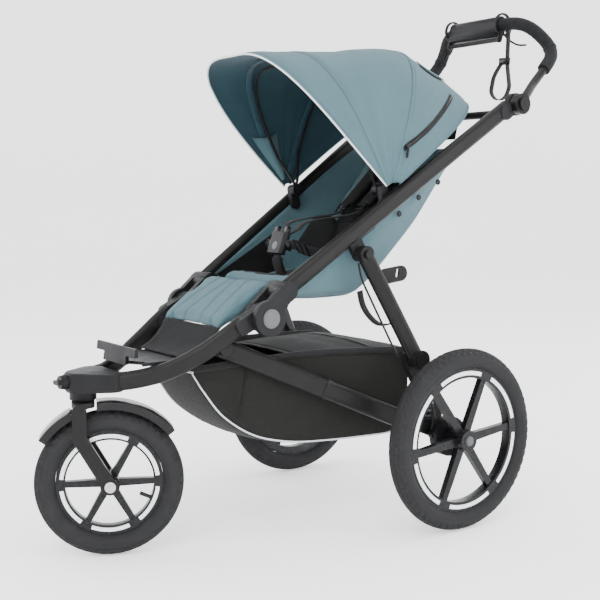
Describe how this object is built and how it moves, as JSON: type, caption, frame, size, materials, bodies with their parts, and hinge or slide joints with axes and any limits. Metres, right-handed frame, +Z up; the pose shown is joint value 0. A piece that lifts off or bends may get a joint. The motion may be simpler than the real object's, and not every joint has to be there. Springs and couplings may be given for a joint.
{
  "type": "baby stroller",
  "caption": "Three-wheel jogging stroller with a fabric seat and canopy, swivelling front wheel, large spoked rear wheels, cargo basket and folding frame.",
  "frame": {"origin": "on the floor, under the middle of the whole stroller's box", "axes": "+X to the child's left, -Y forward, +Z up"},
  "size_m": [0.69, 1.2516, 1.18],
  "materials": {
    "frame_tube": "satin anodised dark grey",
    "casting": "fine-grained glass-filled nylon",
    "steel": "zinc plated",
    "badge": "satin grey",
    "seat_fabric": "woven polyester",
    "canopy_fabric": "coated woven polyester",
    "webbing": "ribbed webbing",
    "hard_plastic": "moulded, light grain",
    "basket_fabric": "heavy woven polyester",
    "tyre": "matte rubber",
    "rim": "moulded nylon",
    "reflector": "silver retroreflective film",
    "grip_foam": "soft foam",
    "cable": "smooth sheath"
  },
  "bodies": {
    "upper_frame": {"upper_tube_left": "frame_tube", "upper_tube_right": "frame_tube", "fold_castings": "casting", "fold_pins": "steel", "hinge_caps": "badge", "leg_brackets": "casting", "handle_hubs": "casting", "rear_crossbar": "frame_tube", "canopy_brackets": "casting", "seat_bottom": "seat_fabric", "seat_sides": "seat_fabric", "lap_harness": "webbing", "buckle": "hard_plastic", "canopy_rear_panel": "canopy_fabric"},
    "buckle_button": {"buckle_button": "badge"},
    "backrest": {"backrest": "seat_fabric", "shoulder_harness": "webbing"},
    "front_frame": {"front_tubes": "frame_tube", "fold_lugs": "casting", "link_brackets": "casting", "head_casting": "casting", "footrest": "hard_plastic", "calf_pad": "seat_fabric"},
    "swivel_lock": {"swivel_lock_knob": "hard_plastic"},
    "fork": {"fork": "frame_tube", "fender": "hard_plastic", "front_axle": "steel"},
    "front_wheel": {"front_tyre": "tyre", "front_rim": "rim", "front_reflectors": "reflector"},
    "chassis": {"lower_links": "frame_tube", "rear_uprights": "casting", "rear_beam": "frame_tube", "basket": "basket_fabric", "brake_cable_lower": "cable", "spring_left": "steel", "spring_right": "steel"},
    "parking_pedal": {"parking_pedal": "hard_plastic"},
    "rear_legs": {"rear_legs": "frame_tube", "leg_straps": "webbing", "brake_cable_upper": "cable"},
    "arm_left": {"arm_left": "hard_plastic"},
    "arm_right": {"arm_right": "hard_plastic"},
    "wheel_left": {"rear_tyre_left": "tyre", "rear_rim_left": "rim", "rear_reflectors_left": "reflector"},
    "wheel_right": {"rear_tyre_right": "tyre", "rear_rim_right": "rim", "rear_reflectors_right": "reflector"},
    "button_left": {"release_button_left": "badge"},
    "button_right": {"release_button_right": "badge"},
    "handle": {"handle_bar": "frame_tube", "handle_grip": "grip_foam", "brake_console": "hard_plastic", "wrist_strap": "webbing"},
    "brake_lever": {"brake_lever": "hard_plastic"},
    "canopy_rear": {"canopy_rear_bow": "hard_plastic", "canopy_front_panel": "canopy_fabric"},
    "canopy_front": {"canopy_front_bow": "hard_plastic"},
    "canopy_visor": {"canopy_visor": "canopy_fabric"}
  },
  "joints": [
    {"name": "frame_fold", "type": "hinge", "parent": "upper_frame", "child": "front_frame", "pos_m": [0, -0.1998, 0.481], "axis": [1, 0, 0], "range_deg": [0, 120], "deforming": ["basket"]},
    {"name": "leg_fold", "type": "hinge", "parent": "upper_frame", "child": "rear_legs", "pos_m": [0, 0.0292, 0.606], "axis": [1, 0, 0], "range_deg": [0, 62], "deforming": ["leg_straps"]},
    {"name": "link_fold", "type": "hinge", "parent": "front_frame", "child": "chassis", "pos_m": [0, -0.2768, 0.42], "axis": [1, 0, 0], "range_deg": [-93.7, 0]},
    {"name": "fork_swivel", "type": "hinge", "parent": "front_frame", "child": "fork", "pos_m": [0, -0.5318, 0.33], "axis": [0, 0, 1], "continuous": true},
    {"name": "front_wheel_spin", "type": "hinge", "parent": "fork", "child": "front_wheel", "pos_m": [0.02089, -0.48638, 0.151], "axis": [0.9085, -0.4179, 0], "continuous": true},
    {"name": "swivel_lock_turn", "type": "hinge", "parent": "front_frame", "child": "swivel_lock", "pos_m": [0, -0.5678, 0.362], "axis": [0, -1, 0], "range_deg": [0, 90]},
    {"name": "suspension_left", "type": "hinge", "parent": "chassis", "child": "arm_left", "pos_m": [0.245, 0.1532, 0.226], "axis": [1, 0, 0], "range_deg": [0, 8], "stiffness_Nm_per_rad": 30, "springref_deg": -8.59, "deforming": ["spring_left"]},
    {"name": "suspension_right", "type": "hinge", "parent": "chassis", "child": "arm_right", "pos_m": [-0.245, 0.1532, 0.226], "axis": [1, 0, 0], "range_deg": [0, 8], "stiffness_Nm_per_rad": 30, "springref_deg": -8.59, "deforming": ["spring_right"]},
    {"name": "wheel_left_spin", "type": "hinge", "parent": "arm_left", "child": "wheel_left", "pos_m": [0.316, 0.2132, 0.2], "axis": [1, 0, 0], "continuous": true},
    {"name": "wheel_right_spin", "type": "hinge", "parent": "arm_right", "child": "wheel_right", "pos_m": [-0.316, 0.2132, 0.2], "axis": [1, 0, 0], "continuous": true},
    {"name": "release_left", "type": "slide", "parent": "wheel_left", "child": "button_left", "axis": [-1, 0, 0], "range_m": [0, 0.002], "stiffness_N_per_m": 300},
    {"name": "release_right", "type": "slide", "parent": "wheel_right", "child": "button_right", "axis": [1, 0, 0], "range_m": [0, 0.002], "stiffness_N_per_m": 300},
    {"name": "parking_brake", "type": "hinge", "parent": "chassis", "child": "parking_pedal", "pos_m": [0, 0.2212, 0.236], "axis": [1, 0, 0], "range_deg": [-20, 0]},
    {"name": "handle_tilt", "type": "hinge", "parent": "upper_frame", "child": "handle", "pos_m": [0, 0.4592, 0.94], "axis": [1, 0, 0], "range_deg": [-45, 35]},
    {"name": "brake_twist", "type": "hinge", "parent": "handle", "child": "brake_lever", "pos_m": [0, 0.5802, 1.152], "axis": [1, 0, 0], "range_deg": [0, 25], "stiffness_Nm_per_rad": 1.5, "springref_deg": -2.86},
    {"name": "recline", "type": "hinge", "parent": "upper_frame", "child": "backrest", "pos_m": [0, 0.0952, 0.566], "axis": [1, 0, 0], "range_deg": [-20, 0], "deforming": ["shoulder_harness"]},
    {"name": "canopy_fold", "type": "hinge", "parent": "upper_frame", "child": "canopy_rear", "pos_m": [0, 0.1052, 0.744], "axis": [1, 0, 0], "range_deg": [-14, 0], "deforming": ["canopy_rear_panel"]},
    {"name": "canopy_front_fold", "type": "hinge", "parent": "canopy_rear", "child": "canopy_front", "pos_m": [0, 0.1052, 0.744], "axis": [1, 0, 0], "range_deg": [-28, 0], "deforming": ["canopy_front_panel"]},
    {"name": "visor_fold", "type": "hinge", "parent": "canopy_front", "child": "canopy_visor", "pos_m": [0, 0.1052, 0.744], "axis": [1, 0, 0], "range_deg": [-7, 0], "deforming": ["canopy_visor"]},
    {"name": "buckle_release", "type": "slide", "parent": "upper_frame", "child": "buckle_button", "axis": [0, 0.9397, -0.342], "range_m": [0, 0.0015], "stiffness_N_per_m": 300}
  ],
  "couplings": [
    {"joint": "leg_fold", "follows": "frame_fold", "ratio": 0.5086},
    {"joint": "link_fold", "follows": "frame_fold", "ratio": -0.7723},
    {"joint": "canopy_front_fold", "follows": "canopy_fold", "ratio": 2},
    {"joint": "visor_fold", "follows": "canopy_fold", "ratio": 0.5}
  ]
}
